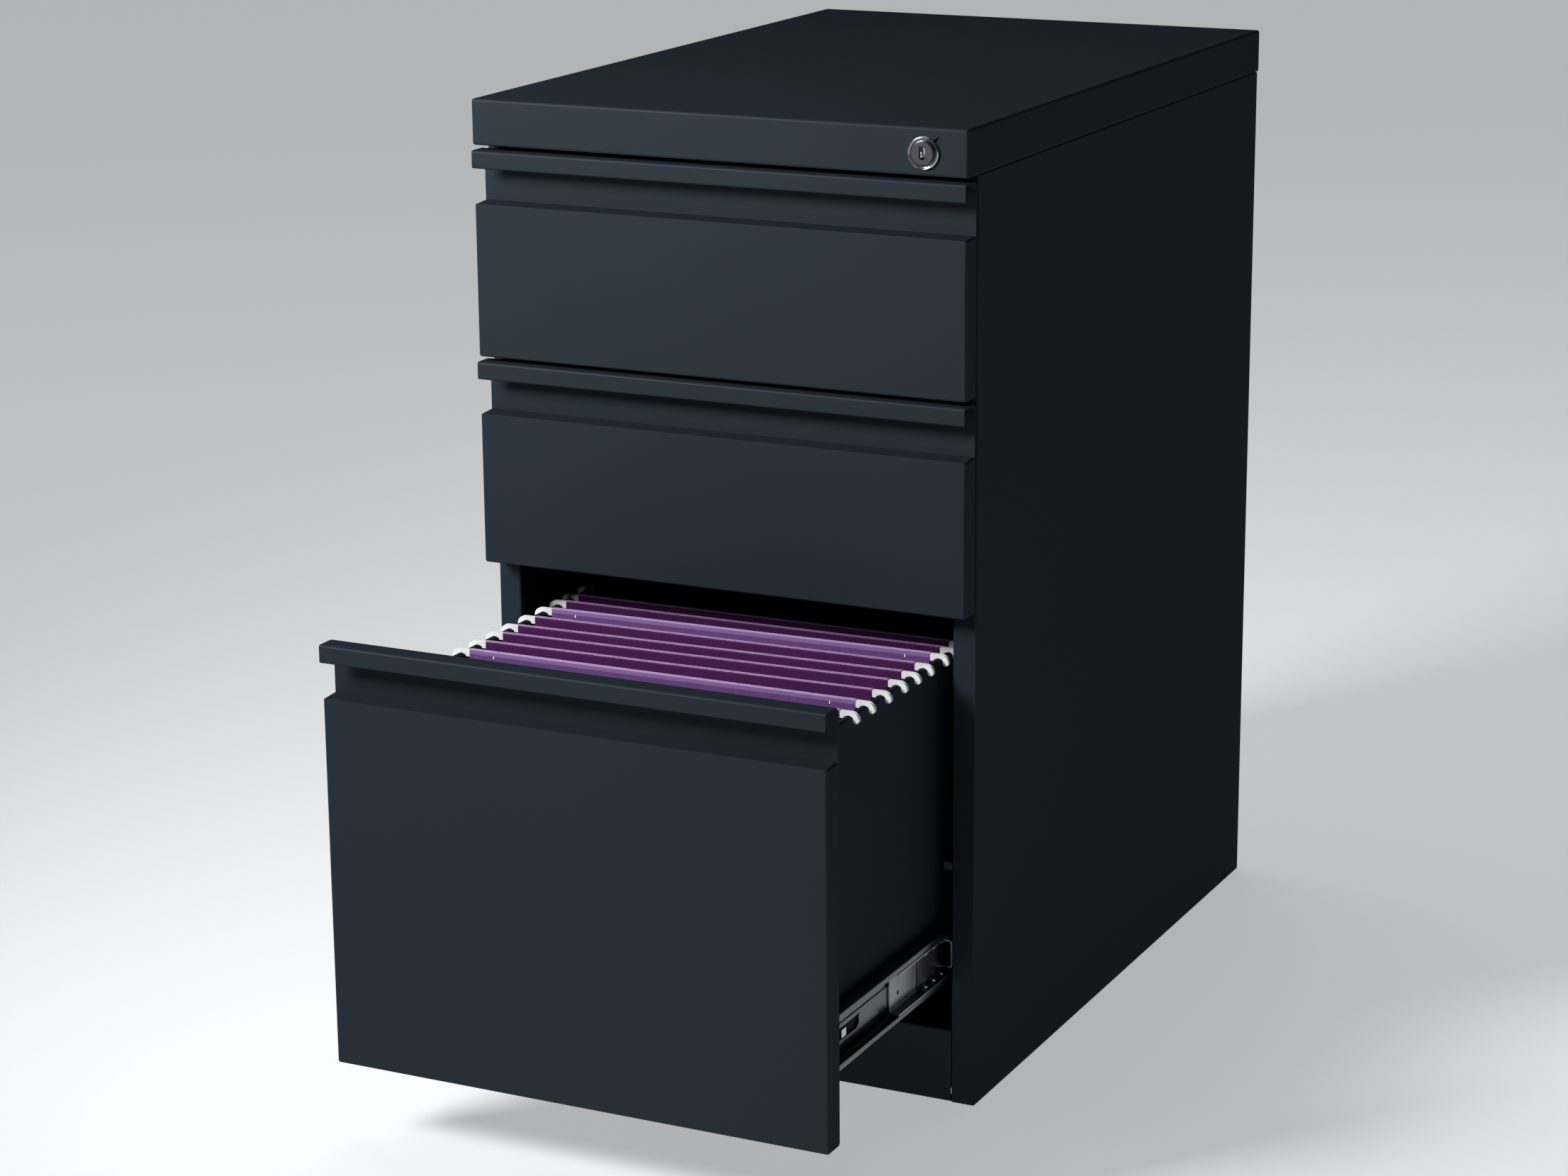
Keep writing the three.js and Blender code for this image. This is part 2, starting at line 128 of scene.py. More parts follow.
class Bench:
    """A material being mixed: its shader and one way of adding nodes."""

    def __init__(self, name: str) -> None:
        """Starts a material of that name."""
        self.material = bpy.data.materials.new(name)
        self.material.use_nodes = True
        self.tree = self.material.node_tree
        self.shader = self.tree.nodes["Principled BSDF"]
        self.place = self.node("ShaderNodeTexCoord", {}, {}).outputs["Object"]

    def node(self, kind: str, settings: dict, inputs: dict) -> bpy.types.Node:
        """Adds a node.

        Args:
            kind: the node's type.
            settings: its own settings, set before its sockets.
            inputs: a value, Value or socket for each input, by name or number.

        Returns:
            The node.
        """
        made = self.tree.nodes.new(kind)
        for key, value in settings.items():
            setattr(made, key, value)
        for key, value in inputs.items():
            self.feed(made.inputs[key], value)
        return made

    def feed(self, socket: bpy.types.NodeSocket, value: object) -> None:
        """Links a socket to a value, or sets it to a constant.

        Args:
            socket: the input to feed.
            value: a Value, an output socket or a constant.
        """
        source = value.socket if isinstance(value, Value) else value
        if isinstance(source, bpy.types.NodeSocket):
            self.tree.links.new(source, socket)
        else:
            socket.default_value = source

    def set(self, **inputs: object) -> None:
        """Feeds the shader's sockets, named with _ for each space."""
        for key, value in inputs.items():
            self.feed(self.shader.inputs[key.replace("_", " ")], value)

    def stretched(self, stretch: Point) -> bpy.types.NodeSocket:
        """Object coordinates scaled by three factors."""
        return self.node("ShaderNodeMapping", {}, {"Vector": self.place, "Scale": stretch}).outputs[0]

    def noise(self, size: float, detail: float = 2.0, stretch: Point = (1, 1, 1)) -> Value:
        """Soft random blotches.

        Args:
            size: how far apart they are, in millimetres.
            detail: how many finer layers they have.
            stretch: how much finer they are along each axis.

        Returns:
            A number about 0.5.
        """
        where = self.stretched(stretch)
        inputs = {"Vector": where, "Scale": 1 / (size * MM), "Detail": detail}
        made = self.node("ShaderNodeTexNoise", {}, inputs)
        return Value(self, made.outputs[0])

    def separate(self) -> list[Value]:
        """The X, Y and Z of the object's own coordinates."""
        made = self.node("ShaderNodeSeparateXYZ", {}, {0: self.place})
        return [Value(self, output) for output in made.outputs]

    def blend(self, mask: Term, low: object, high: object) -> bpy.types.NodeSocket:
        """Mixes two colours.

        Args:
            mask: 0 for the first colour, 1 for the second.
            low: the first colour, or a socket.
            high: the second colour, or a socket.

        Returns:
            The mixed colour.
        """
        colours = [(*c, 1) if isinstance(c, tuple) else c for c in (low, high)]
        made = self.node("ShaderNodeMix", {"data_type": "RGBA"}, {0: mask, 6: colours[0], 7: colours[1]})
        return made.outputs[2]

    def bump(self, height: Value, depth: float, strength: float = 1.0) -> None:
        """Presses a height into the surface's normal.

        Args:
            height: the pattern.
            depth: how deep it goes, in millimetres.
            strength: how much of it shows.
        """
        inputs = {"Height": height, "Distance": depth * MM, "Strength": strength}
        made = self.node("ShaderNodeBump", {}, inputs)
        self.set(Normal=made.outputs[0])


# ---- Finishes ------------------------------------------------------------


@dataclass(frozen=True)
class Finish:
    """A finish of the pedestal, and the record's slot that repaints it."""

    name: str
    slot: str
    colour: Colour

    @cache
    def material(self) -> bpy.types.Material:
        """The finish's material, mixed the first time it is asked for."""
        return self.mix()

    def mix(self) -> bpy.types.Material:
        """Mixes the finish. Each kind of finish has its own way."""
        raise NotImplementedError

    def tone(self, factor: float) -> Colour:
        """The colour made lighter or darker."""
        red, green, blue = self.colour
        return (red * factor, green * factor, blue * factor)


@dataclass(frozen=True)
class PowderCoat(Finish):
    """Baked powder on steel: satin, with fine orange peel and faint specks."""

    roughness: float = 0.5
    gloss: float = 0.03
    gloss_ior: float = 3.0
    peel: float = 1.7
    peel_depth: float = 0.012

    def mix(self) -> bpy.types.Material:
        """Mixes the coat."""
        bench = Bench(self.name)
        cloud = bench.noise(190, 3)
        speck = bench.noise(0.7, 1).over(0.66, 0.06)
        base = bench.blend(cloud, self.tone(0.93), self.tone(1.06))
        bench.set(
            Base_Color=bench.blend(speck * 0.25, base, self.tone(1.6)),
            Roughness=cloud * 0.08 + (self.roughness - 0.04),
            Specular_IOR_Level=0.0,
            Coat_Weight=self.gloss,
            Coat_IOR=self.gloss_ior,
            Coat_Roughness=self.roughness,
        )
        bench.bump(bench.noise(self.peel, 2), self.peel_depth)
        return bench.material


@dataclass(frozen=True)
class RolledMetal(Finish):
    """Plated or bare strip with fine draw lines along its length."""

    roughness: float = 0.3
    line: float = 0.35
    line_depth: float = 0.004

    def mix(self) -> bpy.types.Material:
        """Mixes the metal."""
        bench = Bench(self.name)
        lines = bench.noise(self.line, 3, (1, 0.012, 1))
        cloud = bench.noise(34, 3)
        bench.set(
            Base_Color=bench.blend(cloud * 0.6 + lines * 0.4, self.tone(0.8), self.tone(1.12)),
            Metallic=1.0,
            Roughness=cloud * 0.14 + lines * 0.08 + (self.roughness - 0.11),
        )
        bench.bump(lines, self.line_depth)
        return bench.material


@dataclass(frozen=True)
class Chrome(Finish):
    """Polished plate with hairline wipe marks."""

    roughness: float = 0.07

    def mix(self) -> bpy.types.Material:
        """Mixes the plate."""
        bench = Bench(self.name)
        wipes = bench.noise(0.5, 3, (1, 1, 0.08))
        bench.set(
            Base_Color=bench.blend(wipes, self.tone(0.94), self.tone(1.04)),
            Metallic=1.0,
            Roughness=wipes * 0.08 + (self.roughness - 0.04),
        )
        bench.bump(wipes, 0.001)
        return bench.material


@dataclass(frozen=True)
class CastIron(Finish):
    """Rough casting with a skin of scale and a few rust blooms."""

    rust: Colour = (0.11, 0.045, 0.022)

    def mix(self) -> bpy.types.Material:
        """Mixes the casting's skin."""
        bench = Bench(self.name)
        grain = bench.noise(2.2, 5)
        bloom = bench.noise(26, 4).over(0.6, 0.12)
        scale = bench.blend(grain, self.tone(0.7), self.tone(1.35))
        bench.set(
            Base_Color=bench.blend(bloom * 0.5, scale, self.rust),
            Metallic=0.45 - bloom * 0.35,
            Roughness=grain * 0.2 + 0.62,
        )
        bench.bump(grain, 0.25)
        return bench.material


@dataclass(frozen=True)
class Moulding(Finish):
    """Moulded plastic with a spark-eroded grain."""

    roughness: float = 0.5
    grain: float = 0.5

    def mix(self) -> bpy.types.Material:
        """Mixes the plastic."""
        bench = Bench(self.name)
        grain = bench.noise(self.grain, 2)
        scuff = bench.noise(9, 4).over(0.56, 0.2)
        bench.set(
            Base_Color=bench.blend(scuff * 0.3 + grain * 0.2, self.colour, self.tone(1.3)),
            Roughness=grain * 0.12 + (self.roughness - 0.06),
        )
        bench.bump(grain, 0.02)
        return bench.material


@dataclass(frozen=True)
class Card(Finish):
    """Heavy coloured card: mottled fibres, and a painted highlight along the top fold with a paler painted
    band below it.
    """

    # The fold colour and the band colour below it are painted highlights: paler card where light falls on
    # the top fold and on the strip just under it.
    fold: Colour = (0.8, 0.6, 0.75)
    band: Colour = (0.3, 0.1, 0.3)
    fold_height: float = 0.9
    band_height: float = 2.6

    def mix(self) -> bpy.types.Material:
        """Mixes the card, with the painted highlight of the fold at the top of the folders' own box."""
        bench = Bench(self.name)
        top = Box.of(FolderRow.node(1)).top * MM
        fibre = bench.noise(1.5, 4, (0.45, 1, 1))
        mottle = bench.noise(7, 3)
        speck = bench.noise(0.9, 1).over(0.63, 0.05)
        height = bench.separate()[2] + (fibre - 0.5) * (0.5 * MM)
        sheet = bench.blend(mottle * 0.5 + fibre * 0.5, self.tone(0.72), self.tone(1.3))
        sheet = bench.blend(speck * 0.35, sheet, self.tone(2.2))
        # Painted highlight: a paler strip just below the top fold.
        with_highlight_strip = bench.blend(height.over(top - self.band_height * MM, 0.4 * MM), sheet, self.band)
        bench.set(
            # Painted highlight: the top fold itself, paler still.
            Base_Color=bench.blend(height.over(top - self.fold_height * MM, 0.3 * MM), with_highlight_strip, self.fold),
            Roughness=fibre * 0.1 + 0.78,
            Specular_IOR_Level=0.25,
        )
        bench.bump(fibre, 0.05)
        return bench.material


class Coats:
    """The finishes in use, by the piece that wears them."""

    charcoal = PowderCoat("charcoal_satin", "charcoal_powder_coat", (0.0165, 0.024, 0.032))
    zinc = RolledMetal("bright_zinc", "zinc_steel", (0.42, 0.44, 0.47))
    channel = RolledMetal("channel_zinc", "zinc_steel", (0.17, 0.175, 0.2), roughness=0.24)
    cage = RolledMetal("cage_steel", "zinc_steel", (0.16, 0.15, 0.16), roughness=0.36)
    # The tab is bare metal, and its very pale base colour paints the bright glint it shows.
    tab = RolledMetal("tab_zinc", "zinc_steel", (0.85, 0.86, 0.88), roughness=0.2)
    chrome = Chrome("polished_chrome", "lock_chrome", (0.72, 0.73, 0.75))
    plug = RolledMetal("lock_plug_face", "lock_chrome", (0.13, 0.125, 0.15), roughness=0.34)
    iron = CastIron("rough_casting", "ballast_iron", (0.05, 0.05, 0.053))
    nylon = Moulding("black_nylon", "glide_nylon", (0.012, 0.012, 0.014))
    # The fold and band colours of both cards are painted highlights along the top fold and the strip below
    # it.
    plum = Card("plum_card", "plum_folder", (0.055, 0.005, 0.065), fold=(0.4, 0.27, 0.46),
                band=(0.085, 0.012, 0.1), fold_height=0.45, band_height=1.6)
    lavender = Card("lavender_card", "lavender_folder", (0.125, 0.05, 0.19), fold=(0.46, 0.34, 0.55),
                    band=(0.24, 0.13, 0.33), fold_height=0.45, band_height=3.4)
    hook = Moulding("hook_white", "", (0.86, 0.87, 0.86), roughness=0.35, grain=1.2)


# ---- Shapes --------------------------------------------------------------


@dataclass(frozen=True)
class Box:
    """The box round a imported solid, in millimetres."""

    left: float
    right: float
    front: float
    rear: float
    bottom: float
    top: float

    @classmethod
    def of(cls, *nodes: str) -> "Box":
        """The box round one or more nodes."""
        corners = [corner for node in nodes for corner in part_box(node)]
        spans = [(min(c[i] for c in corners) / MM, max(c[i] for c in corners) / MM) for i in range(3)]
        return cls(*spans[0], *spans[1], *spans[2])

    @property
    def middle(self) -> Vector:
        """The middle of the box."""
        return (self.low + self.high) / 2

    @property
    def width(self) -> float:
        """The size across."""
        return self.right - self.left

    @property
    def low(self) -> Vector:
        """The lowest corner."""
        return Vector((self.left, self.front, self.bottom))

    @property
    def high(self) -> Vector:
        """The highest corner."""
        return Vector((self.right, self.rear, self.top))


class Axis(Enum):
    """The axis that a section runs along, with the plane that it is drawn in."""

    X = "drawn in y and z"
    Y = "drawn in x and z"
    Z = "drawn in x and y"

    def at(self, u: float, v: float, along: float) -> Vector:
        """The point (u, v) of a section, some way along the axis."""
        return {
            Axis.X: Vector((along, u, v)),
            Axis.Y: Vector((u, along, v)),
            Axis.Z: Vector((u, v, along)),
        }[self]


class Side(Enum):
    """The two sides of the pedestal."""

    LEFT = -1
    RIGHT = 1

    @property
    def label(self) -> str:
        """The side's name in the names of the pieces."""
        return self.name.lower()


def dress(node: str, width: float, coat: Finish, body: str, steps: int = 2) -> None:
    """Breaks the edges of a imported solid's copy and finishes it.

    Args:
        node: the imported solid.
        width: how wide its broken edges are.
        coat: its finish.
        body: the body that it rides on.
        steps: how many flats a broken edge has.
    """
    Shape.of_node(node).soften(width, steps).finish(node, coat, body, node)


def hexagon(radius: float, u: float, v: float) -> list[Point]:
    """The corners of a nut about the point (u, v)."""
    angles = [FULL_TURN * corner / 6 for corner in range(6)]
    return [(math.cos(angle) * radius + u, math.sin(angle) * radius + v) for angle in angles]


class Shape:
    """A mesh on the bench, in millimetres."""

    def __init__(self) -> None:
        """Starts with nothing."""
        self.bm = bmesh.new()

    # -- starting a shape

    @classmethod
    def of_node(cls, node: str) -> "Shape":
        """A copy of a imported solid, with its triangles merged into flat faces."""
        shape = cls()
        shape.bm.from_mesh(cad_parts[node].data)
        shape.scale(1 / MM)
        bmesh.ops.remove_doubles(shape.bm, verts=shape.bm.verts, dist=0.002)
        bmesh.ops.dissolve_limit(shape.bm, angle_limit=math.radians(0.5), verts=shape.bm.verts,
                                 edges=shape.bm.edges)
        return shape

    def fold(self, path: Sequence[Point], axis: Axis, start: float, end: float,
             sheet: float, radius: float, steps: int = 4, closed_ends: int = 0) -> "Shape":
        """Adds the outer skin of a folded sheet.

        Args:
            path: the section's corners, each with its own inner radius if it has a third number.
            axis: the axis that the section runs along.
            start: where the section starts on it.
            end: where it ends.
            sheet: the sheet's thickness, which a fold adds to its outer radius.
            radius: the usual inner radius of a fold.
            steps: how many flats a fold has.
            closed_ends: how many of the first corners are joined by a flat cheek at each end.

        Returns:
            The shape.
        """
        skin = [self.bm.verts.new(axis.at(p[0], p[1], start)) for p in path]
        edges = [self.bm.edges.new(pair) for pair in zip(skin, skin[1:])]
        made = bmesh.ops.extrude_edge_only(self.bm, edges=edges)["geom"]
        far = [g for g in made if isinstance(g, bmesh.types.BMVert)]
        bmesh.ops.translate(self.bm, verts=far, vec=axis.at(0, 0, end - start))
        if axis is Axis.Y:
            bmesh.ops.reverse_faces(self.bm, faces=[g for g in made if isinstance(g, bmesh.types.BMFace)])
        across = [self._crossing(vert, far) for vert in skin]
        folds: dict[float, list] = {}
        for before, here, after, edge in zip(path, path[1:], path[2:], across[1:]):
            turn = self._turn(before, here, after)
            bend = (here[2] if len(here) > 2 else radius) + (sheet if turn < 0 else 0)
            folds.setdefault(round(bend * math.tan(abs(turn) / 2), 4), []).append(edge)
        if closed_ends:
            self._close_ends(skin[:closed_ends], across[:closed_ends], folds, radius + sheet)
        for setback, group in folds.items():
            self.round([edge for edge in group if edge.is_valid], setback, steps)
        return self

    @staticmethod
    def _crossing(vert: bmesh.types.BMVert, far: list) -> bmesh.types.BMEdge:
        """The edge that runs from a vertex of the near end to the far end."""
        return next(e for e in vert.link_edges if e.other_vert(vert) in far)

    @staticmethod
    def _turn(before: Point, here: Point, after: Point) -> float:
        """How far a path turns at a corner, positive to the left."""
        first = Vector((here[0] - before[0], here[1] - before[1]))
        second = Vector((after[0] - here[0], after[1] - here[1]))
        return -first.angle_signed(second)

    def _close_ends(self, skin: list, across: list, folds: dict, bend: float) -> None:
        """Adds a flat cheek at both ends of the first corners.

        Args:
            skin: the corners at the near end.
            across: the edges that run from them to the far end.
            folds: the edges to round, by setback, which the cheeks' own edges join.
            bend: the outer radius round a cheek.
        """
        far = [edge.other_vert(vert) for vert, edge in zip(skin, across)]
        for ring in (skin, far):
            cheek = self.bm.faces.new(ring)
            rims = [e for e in cheek.edges if len(e.link_faces) == 2]
            folds.setdefault(round(bend, 4), []).extend(rims)
        bmesh.ops.recalc_face_normals(self.bm, faces=self.bm.faces)
        widest = max(self.bm.faces, key=lambda face: face.calc_area())
        if widest.normal.y > 0:
            bmesh.ops.reverse_faces(self.bm, faces=self.bm.faces)

    def block(self, low: Vector, high: Vector) -> list[bmesh.types.BMFace]:
        """Adds a block between two corners.

        Args:
            low: the lowest corner.
            high: the highest corner.

        Returns:
            Its six faces.
        """
        verts = bmesh.ops.create_cube(self.bm, size=1)["verts"]
        bmesh.ops.scale(self.bm, verts=verts, vec=high - low)
        bmesh.ops.translate(self.bm, verts=verts, vec=(low + high) / 2)
        return list({face for vert in verts for face in vert.link_faces})

    def tray(self, box: Box, open_to: Vector, radius: float) -> "Shape":
        """Adds the outer skin of a shallow tray with rounded, welded corners.

        Args:
            box: the tray's outside.
            open_to: the direction that its open side faces.
            radius: the outer radius of its folds.

        Returns:
            The shape.
        """
        faces = self.block(box.low, box.high)
        mouth = max(faces, key=lambda face: face.normal.dot(open_to))
        bmesh.ops.delete(self.bm, geom=[mouth], context="FACES_ONLY")
        self.round([e for e in self.bm.edges if len(e.link_faces) == 2], radius, 5)
        return self

    def spin(self, profile: Sequence[Point], centre: Vector, axis: Axis, steps: int = 48) -> "Shape":
        """Adds a turned piece.

        Args:
            profile: (radius, along) points, which start and end on the axis or meet.
            centre: a point on the axis of turning, from which `along` is measured.
            axis: the direction of that axis.
            steps: how many flats a full turn has.

        Returns:
            The shape.
        """
        lay = {
            Axis.X: lambda r, a: Vector((a, 0, r)),
            Axis.Y: lambda r, a: Vector((r, a, 0)),
            Axis.Z: lambda r, a: Vector((r, 0, a)),
        }[axis]
        verts = [self.bm.verts.new(centre + lay(r, a)) for r, a in profile]
        edges = [self.bm.edges.new(pair) for pair in zip(verts, verts[1:])]
        bmesh.ops.spin(self.bm, geom=verts + edges, cent=centre, axis=axis.at(0, 0, 1),
                       angle=FULL_TURN, steps=steps, use_merge=True)
        bmesh.ops.remove_doubles(self.bm, verts=self.bm.verts, dist=0.001)
        bmesh.ops.recalc_face_normals(self.bm, faces=self.bm.faces)
        return self

    def plate(self, outline: Sequence[Point], axis: Axis, start: float, end: float) -> "Shape":
        """Adds a flat plate cut to an outline.

        Args:
            outline: its corners, each rounded if it has a third number.
            axis: the axis across the plate.
            start: where the plate starts on it.
            end: where it ends.

        Returns:
            The shape.
        """
        verts = [self.bm.verts.new(axis.at(p[0], p[1], start)) for p in outline]
        face = self.bm.faces.new(verts)
        for vert, point in zip(verts, outline):
            if len(point) > 2:
                bmesh.ops.bevel(self.bm, geom=[vert], offset=point[2], offset_type="OFFSET", segments=5,
                                profile=0.5, affect="VERTICES", material=-1)
        face = max(self.bm.faces, key=lambda f: f.calc_area())
        made = bmesh.ops.extrude_face_region(self.bm, geom=[face])["geom"]
        moved = [g for g in made if isinstance(g, bmesh.types.BMVert)]
        bmesh.ops.translate(self.bm, verts=moved, vec=axis.at(0, 0, end - start))
        bmesh.ops.recalc_face_normals(self.bm, faces=self.bm.faces)
        return self

    # -- working a shape

    def round(self, edges: Iterable[bmesh.types.BMEdge], setback: float, steps: int = 3) -> None:
        """Rounds edges.

        Args:
            edges: the edges.
            setback: how far from the edge the rounding starts.
            steps: how many flats it has.
        """
        bmesh.ops.bevel(self.bm, geom=list(edges), offset=setback, offset_type="OFFSET", segments=steps,
                        profile=0.5, affect="EDGES", material=-1, clamp_overlap=True)

    def soften(self, width: float, steps: int = 2, sharper_than: float = 40) -> "Shape":
        """Breaks every edge sharper than an angle in degrees."""
        limit = math.radians(sharper_than)
        sharp = [e for e in self.bm.edges if e.is_manifold and e.calc_face_angle() > limit]
        self.round(sharp, width, steps)
        return self

    def thicken(self, sheet: float) -> "Shape":
        """Gives an open skin its thickness, towards the inside."""
        bmesh.ops.solidify(self.bm, geom=self.bm.faces[:], thickness=sheet)
        return self

    def punch(self, centre: Vector, radius: float, run: Vector = Vector((0, 0, 1)), reach: float = 0.0,
              flats: int = 8) -> "Shape":
        """Cuts a round or long hole in the flat face that holds a point.

        Args:
            centre: the middle of the hole.
            radius: its radius, or that of its round ends.
            run: the direction of a long hole.
            reach: how far its round ends lie from the middle.
            flats: how many flats each quarter has.

        Returns:
            The shape.
        """
        across = self.face_at(centre).normal.cross(run).normalized()
        margin = radius * 0.35
        sides = [(run, reach + radius + margin), (-run, reach + radius + margin),
                 (across, radius + margin), (-across, radius + margin)]
        for direction, distance in sides:
            face = self.face_at(centre)
            bmesh.ops.bisect_plane(self.bm, geom=[face, *face.edges, *face.verts],
                                   plane_co=centre + direction * distance, plane_no=direction)
        face = self.face_at(centre)
        bmesh.ops.inset_region(self.bm, faces=[face], thickness=margin / 2)
        rim = list(face.edges)
        bmesh.ops.delete(self.bm, geom=[face], context="FACES_ONLY")
        cut = bmesh.ops.subdivide_edges(self.bm, edges=rim, cuts=flats - 1)["geom_inner"]
        loop = {v for v in cut if isinstance(v, bmesh.types.BMVert)} | {v for e in rim for v in e.verts}
        for vert in loop:
            offset = vert.co - centre
            along = max(-reach, min(reach, offset.dot(run)))
            vert.co = centre + run * along + (offset - run * along).normalized() * radius
        return self

    def face_at(self, point: Vector) -> bmesh.types.BMFace:
        """The flat face whose own box holds a point."""
        def holds(face: bmesh.types.BMFace) -> bool:
            """True if the face's plane and box hold the point."""
            if abs(face.normal.dot(point - face.verts[0].co)) > 0.01:
                return False
            spans = [[v.co[i] for v in face.verts] for i in range(3)]
            return all(min(span) - 0.01 <= point[i] <= max(span) + 0.01 for i, span in enumerate(spans))

        self.bm.normal_update()
        return max((face for face in self.bm.faces if holds(face)), key=lambda face: face.calc_area())

    def scale(self, factor: float) -> None:
        """Scales the whole shape about the origin."""
        bmesh.ops.scale(self.bm, verts=self.bm.verts, vec=(factor,) * 3)

    def turn(self, angle: float, centre: Vector) -> "Shape":
        """Turns the whole shape about an upright axis, by an angle in degrees."""
        spun = Matrix.Rotation(math.radians(angle), 3, "Z")
        bmesh.ops.rotate(self.bm, verts=self.bm.verts, cent=centre, matrix=spun)
        return self

    # -- ending a shape

    def finish(self, name: str, coat: Finish, body: str, *replaced: str) -> bpy.types.Object:
        """Makes the shape a piece of the pedestal.

        Args:
            name: the piece's name.
            coat: its finish.
            body: the body that it rides on.
            replaced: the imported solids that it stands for.

        Returns:
            The piece.
        """
        self.scale(MM)
        bmesh.ops.recalc_face_normals(self.bm, faces=self.bm.faces)
        mesh = bpy.data.meshes.new(name)
        self.bm.to_mesh(mesh)
        self.bm.free()
        mesh.shade_smooth()
        mesh.set_sharp_from_angle(angle=math.radians(38))
        piece = bpy.data.objects.new(name, mesh)
        bpy.context.scene.collection.objects.link(piece)
        weighted = piece.modifiers.new("even_shading", "WEIGHTED_NORMAL")
        weighted.keep_sharp = True
        mesh.materials.append(coat.material())
        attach(piece, body)
        if replaced:
            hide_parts(*replaced)
        log.info("%s: %d faces on %s", name, len(mesh.polygons), body)
        return piece


# ---- Body ----------------------------------------------------------------


@dataclass
class Carcass:
    """The fixed steel shell: sides, back, top, rails, pan, uprights and glides."""

    sheet: float = 1.0
    fold: float = 0.8
    stile: float = 18.0
    stile_return: float = 6.0
    cap_edge: float = 2.0
    cap_rim: float = 11.0
    nut_over_hole: float = 2.0
    rail_into_side: float = 0.3
    edge: float = 0.22
    body: str = "cabinet"

    def build(self) -> None:
        """Builds and dresses every fixed piece."""
        for side in Side:
            self.side_panel(side)
            self.uprights(side)
        self.top_cap()
        self.rails()
        self.plates()
        self.glides()

    def side_panel(self, side: Side) -> None:
        """A side with its stile and its rear flange, folded from one sheet."""
        node = f"side_panel_{side.label}"
        box = Box.of(node)
        outer = max(abs(box.left), abs(box.right))
        opening = outer - self.stile
        path = [(opening, box.rear), (outer, box.rear), (outer, box.front), (opening, box.front),
                (opening, box.front + self.stile_return)]
        if side is Side.LEFT:
            path = [(-x, y) for x, y in reversed(path)]
        shape = Shape().fold(path, Axis.Z, box.bottom, box.top, self.sheet, self.fold)
        shape.thicken(self.sheet).soften(self.edge).finish(node, Coats.charcoal, self.body, node)

    def uprights(self, side: Side) -> None:
        """The channels that carry the slides."""
        for place in ("front", "rear"):
            node = f"slide_upright_{place}_{side.label}"
            dress(node, 0.2, Coats.charcoal, self.body)

    def top_cap(self) -> None:
        """The top: a shallow tray with a rim turned in all round and a hole for the lock."""
        box = Box.of("top_cap")
        lock = Box.of("lock_barrel")
        shape = Shape()
        faces = shape.block(box.low, box.high)
        mouth = min(faces, key=lambda face: face.normal.z)
        rim = list(mouth.edges)
        bmesh.ops.delete(shape.bm, geom=[mouth], context="FACES_ONLY")
        made = bmesh.ops.extrude_edge_only(shape.bm, edges=rim)["geom"]
        for vert in (g for g in made if isinstance(g, bmesh.types.BMVert)):
            vert.co.x -= math.copysign(self.cap_rim, vert.co.x)
            vert.co.y += self.stile + self.sheet if vert.co.y < 0 else -self.cap_rim
        shape.round([e for e in shape.bm.edges if len(e.link_faces) == 2 and e.calc_face_angle() > 0.5],
                    self.cap_edge, 5)
        hole = Vector((lock.middle.x, box.front, lock.middle.z))
        shape.punch(hole, lock.width / 2 - self.nut_over_hole)
        shape.thicken(self.sheet).soften(self.edge)
        shape.finish("top_cap", Coats.charcoal, self.body, "top_cap")

    def rails(self) -> None:
        """The channels across the front, at the top and at the toe."""
        for node in ("top_front_rail", "toe_rail"):
            box = Box.of(node)
            path = [(box.rear, box.bottom), (box.front, box.bottom),
                    (box.front, box.top), (box.rear, box.top)]
            half = box.right + self.rail_into_side
            shape = Shape().fold(path, Axis.X, -half, half, self.sheet, self.fold)
            shape.thicken(self.sheet).soften(0.2).finish(node, Coats.charcoal, self.body, node)

    def plates(self) -> None:
        """The back panel, the base pan and the counterweight on it."""
        dress("back_panel", 0.3, Coats.charcoal, self.body)
        dress("base_pan", 0.2, Coats.charcoal, self.body)
        dress("counterweight", 3, Coats.iron, self.body, 4)

    def glides(self) -> None:
        """The four levelling glides: a moulded foot, a threaded stem and its nut."""
        for side in Side:
            for place in ("front", "rear"):
                node = f"levelling_glide_{place}_{side.label}"
                Glide(Box.of(node)).build(node, self.body)


@dataclass
class Glide:
    """A levelling glide, standing in its packed box."""

    box: Box
    foot_height: float = 4.2
    stem: float = 4.0
    pitch: float = 1.25
    nut: float = 6.5
    nut_height: float = 5.0
    nut_bottom: float = 7.5

    def build(self, node: str, body: str) -> None:
        """Builds the foot, the threaded stem and the nut."""
        foot = self.box.width / 2
        centre = self.box.middle
        centre.z = self.box.bottom
        crown = self.foot_height + 0.5
        moulded = [(0, 0), (foot - 2, 0), (foot - 0.5, 0.6), (foot, 1.6), (foot - 0.3, 2.8),
                   (foot - 3, 3.6), (self.stem + 2, self.foot_height), (self.stem + 1.6, crown), (0, crown)]
        Shape().spin(moulded, centre, Axis.Z).finish(node, Coats.nylon, body, node)
        bottom, top = self.foot_height, self.box.top - self.box.bottom
        turns = int((top - bottom - 1) / self.pitch)
        thread: list[Point] = [(0, bottom)]
        for turn in range(turns):
            base = bottom + turn * self.pitch
            thread += [(self.stem - 0.5, base), (self.stem, base + self.pitch / 2)]
        thread += [(self.stem - 0.8, top - 0.6), (self.stem - 1.4, top), (0, top)]
        Shape().spin(thread, centre, Axis.Z, 24).finish(f"{node}_stem", Coats.zinc, body)
        low = self.box.bottom + self.nut_bottom
        nut = Shape().plate(hexagon(self.nut, centre.x, centre.y), Axis.Z, low, low + self.nut_height)
        nut.soften(0.5, 3).finish(f"{node}_nut", Coats.zinc, body)


# ---- Drawers -------------------------------------------------------------


